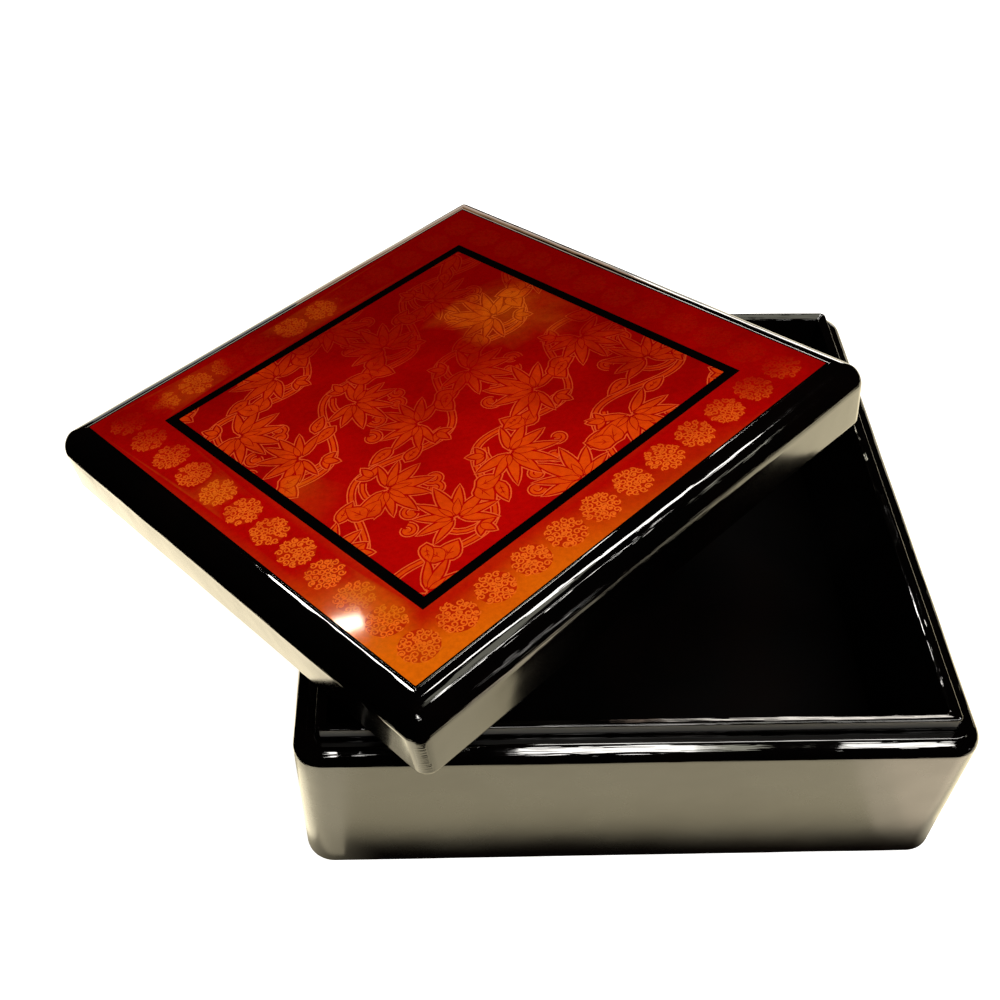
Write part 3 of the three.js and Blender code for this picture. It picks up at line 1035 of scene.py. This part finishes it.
class LACQUERBOX_OT_linings(bpy.types.Operator):
    """Makes the four lining boards whose upper edges are the collar, and finishes the floor board"""

    bl_idname = "lacquerbox.make_linings"
    bl_label = "Lining boards"

    def execute(self, context):
        form, finish, _, _ = settings(context)
        low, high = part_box("liner_right")
        outer, inner, bottom, top = (v / MM for v in (high.x, low.x, low.z, high.z))
        edge = form.collar_edge / MM
        middle = (outer + inner) / 2
        shelf = top - COLLAR_HEIGHT
        profile = [(outer, bottom), *run((outer, bottom), (outer, shelf), 2),
                   *run((outer, shelf), (outer, top - edge), 5)]
        worn = outer - inner - edge - 0.3
        inner_edge = rubbed_edge(COLLAR_SLOPES)
        scale = worn / inner_edge[-1][0]
        low_end = top - inner_edge[-1][1] * scale
        profile += round_edge(outer - edge, top - edge, edge, 0, 90, EDGE_STEPS)
        profile += [(inner + worn - x * scale, top - z * scale) for x, z in inner_edge]
        profile += [*run((inner, low_end), (inner, bottom), 4), (inner, bottom), (middle, bottom)]
        rings = [ring(h, max(COLLAR_CORNER - outer + h, 0.9), z) for h, z in profile]
        per_quarter = CORNER_STEPS + SIDE_STEPS
        for quarter, side in enumerate(SIDES):
            first = quarter * per_quarter + CORNER_STEPS // 2
            picks = [(first + i) % (4 * per_quarter) for i in range(per_quarter + 1)]
            points = np.array([r[i] for r in rings for i in picks], float)
            board = make_object(f"lining_{side}", points * MM, self.board_faces(len(rings), len(picks)),
                                black_lacquer("collar_lacquer", finish, wave=90.0, bumps=0.45,
                                              polished=0.03, smeared=0.1))
            make_uneven(board, 0.10 * MM, 0.011, points[:, 2] < top - 6)
            # Painted reflection: the collar's upper outer face is marked to be painted grey for the pale
            # floor that it mirrors
            reach = np.abs(points[:, :2]).max(axis=1)
            upper = np.clip((points[:, 2] - top + 2.9) / 0.7, 0.0, 1.0)
            upper *= points[:, 2] < top - edge + 0.1
            mark_dull_and_reflection(board, (reach > outer - 0.1) * upper)
            mark_level(board, points[:, 2])
            attach(board, "box", "black_lacquer", f"liner_{side}")
        floor_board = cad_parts["floor_lining"]
        floor_board.data.materials.clear()
        floor_board.data.materials.append(black_lacquer(
            "dull_inner_lacquer", finish, wave=40.0, bumps=0.3, polished=0.5, smeared=0.62,
            specular=0.02))
        return {"FINISHED"}

    @staticmethod
    def board_faces(rows, count):
        """Faces of a mitred board: strips between its profile's rows and a cap at each end."""
        faces = []
        for row in range(rows):
            above = (row + 1) % rows
            for i in range(count - 1):
                faces.append((row * count + i, row * count + i + 1,
                              above * count + i + 1, above * count + i))
        faces.append(tuple(row * count for row in range(rows)))
        faces.append(tuple(reversed([row * count + count - 1 for row in range(rows)])))
        return faces


class LACQUERBOX_OT_lid_shell(bpy.types.Operator):
    """Makes the moulded lid with its large shoulder and the beds for the two sheets"""

    bl_idname = "lacquerbox.make_lid_shell"
    bl_label = "Lid shell"

    def execute(self, context):
        form, finish, _, _ = settings(context)
        half = lid_place.lid_half
        corner, shoulder = form.lid_corner / MM, form.lid_shoulder / MM
        rim, foot = LID_RIM_EDGE, half - LID_TAPER
        inside = [(LID_INNER_HALF - LID_FILLET - 0.4, LID_CEILING)]
        inside += round_edge(LID_INNER_HALF - LID_FILLET, LID_CEILING - LID_FILLET, LID_FILLET, 90, 0, 4)
        inside += [(LID_INNER_HALF, z) for z in (7.0, 3.5)]
        levels = [(h, LID_FILLET, z) for h, z in inside]
        outside = round_edge(LID_INNER_HALF + rim, rim, rim, 180, 270, EDGE_STEPS)
        outside += round_edge(foot - rim, rim, rim, -90, 0, EDGE_STEPS)
        outside += run((foot, rim), (half, LID_HEIGHT - shoulder), 5)
        outside += rubbed_shoulder(half, LID_HEIGHT, shoulder, LID_SLOPES)
        levels += [(h, corner - half + h, z) for h, z in outside]
        sheet, line_out, line_in = self.sheet_edges()
        gap, bed = 0.02, LID_HEIGHT - SHEET_BED
        beds = [(sheet + gap, LID_HEIGHT), (sheet + gap, bed), (line_out - gap, bed),
                (line_out - gap, LID_HEIGHT), (line_in + gap, LID_HEIGHT), (line_in + gap, bed)]
        levels += [(h, LEAST_CORNER, z) for h, z in beds]
        points, faces = solid_of_levels(levels)
        shell = make_object("lid_shell_lacquered", lid_place.to_frame(points), faces,
                            black_lacquer("rubbed_lacquer", finish))
        reach = np.max(np.abs(points[:, :2]), axis=1)
        flat = (points[:, 2] > LID_HEIGHT - 1.0) & (reach < sheet + 0.5)
        make_uneven(shell, form.unevenness, 0.02, flat)
        below = np.clip((LID_HEIGHT - shoulder + 0.8 - points[:, 2]) / 1.5, 0.0, 1.0)
        mark_dull_and_reflection(shell, 0.24 * (reach > foot - 0.1) * below)
        mark_level(shell, points[:, 2])
        attach(shell, "lid", "black_lacquer", "lid_shell")
        return {"FINISHED"}

    @staticmethod
    def sheet_edges():
        """Half widths of the border sheet, its opening and the centre sheet, in millimetres."""
        points = np.array([tuple(v.co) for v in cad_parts["lid_border_sheet"].data.vertices])
        local = (points - np.array(lid_place.origin)) / MM
        across = np.abs(local @ np.array(lid_place.right))
        along = np.abs(local @ np.array(lid_place.back))
        opening = np.maximum(across, along).min()
        return lid_place.border_half, opening, lid_place.centre_half


class LACQUERBOX_OT_sheets(bpy.types.Operator):
    """Makes the red border sheet with its roundels and the red centre sheet with its scroll"""

    bl_idname = "lacquerbox.make_sheets"
    bl_label = "Red sheets"

    def execute(self, context):
        _, finish, ornament, _ = settings(context)
        outer, opening, centre = LACQUERBOX_OT_lid_shell.sheet_edges()
        line = ornament.line_width / MM
        rounds = roundels(ornament.roundel_ring / MM, ornament.roundels_per_side,
                          ornament.roundel_radius / MM, line * 1.25, ornament.seed)
        border_paper = red_sheet("red_border_paper", finish, finish.border_orange_sheen,
                                 finish.border_line, BORDER_PAINTED_LIGHT_AND_WEAR)
        border = sheet_object("border_sheet", outer, rounds, border_paper, BORDER_GOLD_SHEEN, opening)
        attach(border, "lid", "red_border", "lid_border_sheet")
        pattern = scroll(centre, line, ornament.scroll_pitch / MM, ornament.scroll_turn, ornament.seed)
        centre_paper = red_sheet("red_centre_paper", finish, finish.ground_warm_sheen,
                                 finish.centre_line, CENTRE_PAINTED_LIGHT_AND_WEAR)
        middle = sheet_object("centre_sheet", centre, pattern, centre_paper, CENTRE_GOLD_SHEEN)
        attach(middle, "lid", "red_centre", "lid_centre_sheet")
        return {"FINISHED"}


# Stage

WARM_WHITE = (1.0, 0.97, 0.92)
TAN = (1.0, 0.85, 0.48)
LAMP_TARGET = Vector((0.0, 0.0, 0.05))
FLOOR_CORNERS = ((-0.30, -0.135, 0.0), (0.30, -0.135, 0.0), (0.30, 0.50, 0.0), (-0.30, 0.50, 0.0))

# Soft boxes: name, the two ends of the middle line in metres, breadth, level, colour
SOFT_BOXES = (
    ("front_high", (0.034, -0.673, 0.961), (0.240, -0.655, 0.935), 0.19, 36.0, WARM_WHITE),
    ("front_high_fade", (0.240, -0.655, 0.935), (0.295, -0.650, 0.928), 0.17, 7.0, (1.0, 0.98, 0.80)),
    ("front_high_right", (0.368, -0.644, 0.918), (0.500, -0.629, 0.894), 0.14, 36.0, WARM_WHITE),
    ("front_high_left", (-0.172, -0.673, 0.961), (-0.140, -0.673, 0.961), 0.09, 40.0, WARM_WHITE),
    ("right_upper_bar", (-0.018, 0.360, 1.085), (0.620, 0.250, 0.965), 0.07, 40.0, WARM_WHITE),
    ("right_lower_bar", (0.415, -0.140, 1.065), (0.700, -0.010, 0.925), 0.04, 36.0, WARM_WHITE),
    ("right_soft", (0.246, 0.048, 1.120), (0.400, 0.130, 1.065), 0.34, 3.2, (1.0, 0.98, 0.80)),
    ("right_dull", (0.880, -0.130, 0.720), (0.930, -0.060, 0.690), 0.08, 7.0, (1.0, 0.97, 0.80)),
    ("left_window", (-0.575, 0.697, 0.715), (-0.450, 0.580, 0.855), 0.045, 70.0, WARM_WHITE),
    ("left_bulb", (-0.392, 0.755, 0.733), (-0.360, 0.762, 0.738), 0.014, 60.0, (1.0, 0.95, 0.75)),
    ("back_low", (0.130, 0.620, 0.092), (0.400, 0.620, 0.092), 0.085, 10.0, (1.0, 0.92, 0.82)),
    ("back_tan", (-0.260, 0.620, 0.100), (0.130, 0.620, 0.100), 0.20, 1.5, (1.0, 0.55, 0.26)),
    ("right_low", (0.937, -0.554, 0.279), (1.008, -0.475, 0.104), 0.03, 8.0, WARM_WHITE),
)

# Low lamps that lie round the box like a lit table: middle, length and width in metres, turn in
# degrees, share of the level, colour
TABLE_LAMPS = (
    ("table_front", (-0.002, -0.1095), 0.128, 0.051, 0, 1.0, TAN),
    ("table_front_near", (-0.002, -0.0825), 0.128, 0.003, 0, 0.5, TAN),
    ("table_front_right", (0.066, -0.108), 0.008, 0.054, 0, 1.7, (1.0, 0.83, 0.58)),
    ("table_far_right", (0.100, -0.108), 0.060, 0.054, 0, 2.5, (1.0, 0.81, 0.58)),
    ("table_corner_front", (-0.0825, -0.1055), 0.033, 0.058, 0, 1.5, (1.0, 0.88, 0.60)),
    ("table_corner_left", (-0.088, -0.0660), 0.022, 0.020, 0, 2.6, (1.0, 0.90, 0.64)),
    ("table_left", (-0.128, 0.0055), 0.134, 0.022, 128.2, 1.75, (1.0, 0.87, 0.63)),
    ("table_right", (0.190, 0.0), 0.220, 0.150, 0, 1.3, TAN),
)


def shown_rays(w):
    """1 for rays that come straight from the camera or by way of gloss or glass, and the camera's own."""
    path = w.add("ShaderNodeLightPath").outputs
    shown = w.math("MAXIMUM", path["Is Camera Ray"],
                   w.math("MAXIMUM", path["Is Glossy Ray"], path["Is Transmission Ray"]))
    return shown, path["Is Camera Ray"]


def floor_material(level):
    """Pale to the camera. In the lacquer it is tan, but dark where the tray shades it."""
    material, w = new_material("pale_floor")
    shown, camera = shown_rays(w)
    place = w.add("ShaderNodeTexCoord").outputs["Object"]
    parts = w.add("ShaderNodeSeparateXYZ", Vector=place).outputs
    reach = w.math("MAXIMUM", w.math("ADD", parts["X"], 0.006),
                   w.math("MULTIPLY", parts["Y"], -1.0))
    wavy = w.math("ADD", reach, w.math("MULTIPLY", w.noise(place, 30.0), 0.005))
    lit = w.spread(wavy, 0.0795, 0.0885)
    left = w.spread(parts["X"], -0.086, -0.056, 1.0, 0.0)
    lit = w.math("MAXIMUM", lit, w.math("MAXIMUM", left, camera))
    colour = w.mix(camera, (1.0, 0.86, 0.52), (1.0, 1.0, 1.0))
    glow = w.add("ShaderNodeEmission", Color=colour,
                 Strength=w.math("MULTIPLY", w.math("MULTIPLY", shown, lit), level))
    body = w.add("ShaderNodeBsdfDiffuse", Color=w.mix(lit, (0.02, 0.012, 0.01), (0.8, 0.78, 0.74)))
    both = w.add("ShaderNodeAddShader")
    w.put(both.inputs[0], glow.outputs[0])
    w.put(both.inputs[1], body.outputs[0])
    w.add("ShaderNodeOutputMaterial", Surface=both.outputs[0])
    return material


def dark_material():
    """Nearly black, for what only the lacquer mirrors."""
    material, w = new_material("dark_surroundings")
    body = w.add("ShaderNodeBsdfDiffuse", Color=(0.002, 0.002, 0.002))
    w.add("ShaderNodeOutputMaterial", Surface=body.outputs[0])
    return material


def make_world():
    """White wherever the camera, gloss or glass shows it. All light comes from the lamps."""
    world = bpy.data.worlds.new("studio")
    world.use_nodes = True
    world.node_tree.nodes.clear()
    w = Wiring(world.node_tree)
    shown, _ = shown_rays(w)
    glow = w.add("ShaderNodeBackground", Color=(1.0, 1.0, 1.0), Strength=shown)
    w.add("ShaderNodeOutputWorld", Surface=glow.outputs[0])
    bpy.context.scene.world = world


def make_lamp(name, place, axes, width, breadth, level, colour):
    """An area lamp of an even brightness, whose third axis points away from what it lights."""
    lamp = bpy.data.lights.new(name, "AREA")
    lamp.shape = "RECTANGLE"
    lamp.size, lamp.size_y = width, breadth
    lamp.energy = level * math.pi * width * breadth
    lamp.color = colour
    obj = bpy.data.objects.new(name, lamp)
    obj.matrix_world = Matrix.Translation(place) @ Matrix(axes).transposed().to_4x4()
    obj.visible_camera = False
    bpy.context.scene.collection.objects.link(obj)


def make_soft_box(name, start, end, breadth, level, colour):
    """A long lamp between two points, turned to the box."""
    start, end = Vector(start), Vector(end)
    place = (start + end) / 2
    along = (end - start).normalized()
    away = place - LAMP_TARGET
    away = (away - along * away.dot(along)).normalized()
    make_lamp(name, place, (along, away.cross(along), away), (end - start).length, breadth, level, colour)


def make_table_lamp(name, middle, length, width, turn, level, colour):
    """A lamp that lies on the floor and shines up."""
    turn = math.radians(turn)
    along = Vector((math.cos(turn), math.sin(turn), 0))
    down = Vector((0, 0, -1))
    place = Vector((*middle, 0.0004))
    make_lamp(name, place, (along, down.cross(along), down), length, width, level, colour)


def make_camera():
    """The camera that took the photograph, as far as the box's edges tell it."""
    pitch, yaw, roll = (math.radians(v) for v in (CAMERA_PITCH, CAMERA_YAW, CAMERA_ROLL))
    ahead = Vector((math.sin(yaw) * math.cos(pitch), math.cos(yaw) * math.cos(pitch), -math.sin(pitch)))
    level_right = Vector((math.cos(yaw), -math.sin(yaw), 0))
    level_up = level_right.cross(ahead)
    right = level_right * math.cos(roll) + level_up * math.sin(roll)
    up = level_up * math.cos(roll) - level_right * math.sin(roll)
    camera = bpy.data.cameras.new("camera")
    camera.lens, camera.sensor_width = CAMERA_LENS, CAMERA_SENSOR
    camera.shift_x = CAMERA_SHIFT_X
    camera.clip_start, camera.clip_end = 0.01, 20.0
    obj = bpy.data.objects.new("camera", camera)
    axes = Matrix((right, up, -ahead)).transposed().to_4x4()
    obj.matrix_world = Matrix.Translation(CAMERA_PLACE) @ axes
    bpy.context.scene.collection.objects.link(obj)
    bpy.context.scene.camera = obj


class LACQUERBOX_OT_stage(bpy.types.Operator):
    """Makes the pale floor, the surroundings, the soft boxes and the camera"""

    bl_idname = "lacquerbox.make_stage"
    bl_label = "Stage"

    def execute(self, context):
        _, _, _, stage = settings(context)
        floor = make_object("floor", FLOOR_CORNERS, [(0, 1, 2, 3)],
                            floor_material(stage.floor_level), smooth=False)
        floor.location.z = -0.0002
        dark = dark_material()
        room = self.dark_room(dark)
        flag = make_object("dark_flag", self.flag_corners(), [(0, 1, 4, 3), (1, 2, 5, 4)], dark,
                           smooth=False)
        flag.visible_shadow = False
        for each in (room, flag):
            for ray in ("camera", "diffuse", "transmission", "volume_scatter"):
                setattr(each, f"visible_{ray}", False)
        make_world()
        for name, start, end, breadth, level, colour in SOFT_BOXES:
            make_soft_box(name, start, end, breadth, level * stage.lamp_level, colour)
        for name, middle, length, width, turn, share, colour in TABLE_LAMPS:
            make_table_lamp(name, middle, length, width, turn, share * stage.table_level, colour)
        make_camera()
        context.scene.view_settings.view_transform = "Standard"
        return {"FINISHED"}

    @staticmethod
    def flag_corners():
        """A folded dark board on edge to the left, past the lit strip that the lid's wall mirrors."""
        folds = ((-0.100, -0.137), (-0.100, -0.048), (-0.1775, 0.0505))
        return [(*fold, height) for height in (0.0, 0.12) for fold in folds]

    @staticmethod
    def dark_room(dark):
        """A dark shell round the stage, open towards the low backdrop behind the box."""
        rows, columns, radius = 18, 36, 3.0
        angles = [(math.tau * c / columns, math.radians(-90 + 180 * r / rows))
                  for r in range(rows + 1) for c in range(columns)]
        points = [(radius * math.sin(a) * math.cos(e), radius * math.cos(a) * math.cos(e),
                   radius * math.sin(e)) for a, e in angles]
        faces = []
        for r in range(rows):
            for c in range(columns):
                behind = c < 4 or c >= columns - 3
                low = r < rows // 2 + 1
                if behind and low:
                    continue
                after = (c + 1) % columns
                faces.append((r * columns + c, (r + 1) * columns + c,
                              (r + 1) * columns + after, r * columns + after))
        return make_object("dark_room", points, faces, dark, smooth=False)


class LACQUERBOX_PT_pieces(bpy.types.Panel):
    """Lists the settings and the pieces of the box"""

    bl_label = "Lacquer Box"
    bl_idname = "LACQUERBOX_PT_pieces"
    bl_space_type = "VIEW_3D"
    bl_region_type = "UI"
    bl_category = "Lacquer Box"

    def draw(self, context):
        for group in settings(context):
            box = self.layout.box()
            for name in group.bl_rna.properties.keys():
                if name not in ("rna_type", "name"):
                    box.prop(group, name)
        for operator in OPERATORS:
            self.layout.operator(operator.bl_idname)


GROUPS = (
    ("lacquer_form", FormSettings),
    ("lacquer_finish", FinishSettings),
    ("lacquer_ornament", OrnamentSettings),
    ("lacquer_stage", StageSettings),
)
OPERATORS = (
    LACQUERBOX_OT_stage,
    LACQUERBOX_OT_tray,
    LACQUERBOX_OT_linings,
    LACQUERBOX_OT_lid_shell,
    LACQUERBOX_OT_sheets,
)


def register():
    """Makes the settings, the operators and the panel known to Blender."""
    for _, group in GROUPS:
        bpy.utils.register_class(group)
    for cls in (*OPERATORS, LACQUERBOX_PT_pieces):
        bpy.utils.register_class(cls)
    for name, group in GROUPS:
        setattr(bpy.types.Scene, name, PointerProperty(type=group))


def unregister():
    """Takes them back out."""
    for name, _ in GROUPS:
        delattr(bpy.types.Scene, name)
    for cls in (LACQUERBOX_PT_pieces, *reversed(OPERATORS)):
        bpy.utils.unregister_class(cls)
    for _, group in reversed(GROUPS):
        bpy.utils.unregister_class(group)


def main():
    """Makes the stage and the pieces in order."""
    register()
    for operator in OPERATORS:
        family, name = operator.bl_idname.split(".")
        getattr(getattr(bpy.ops, family), name)()


if __name__ == "__main__":
    main()
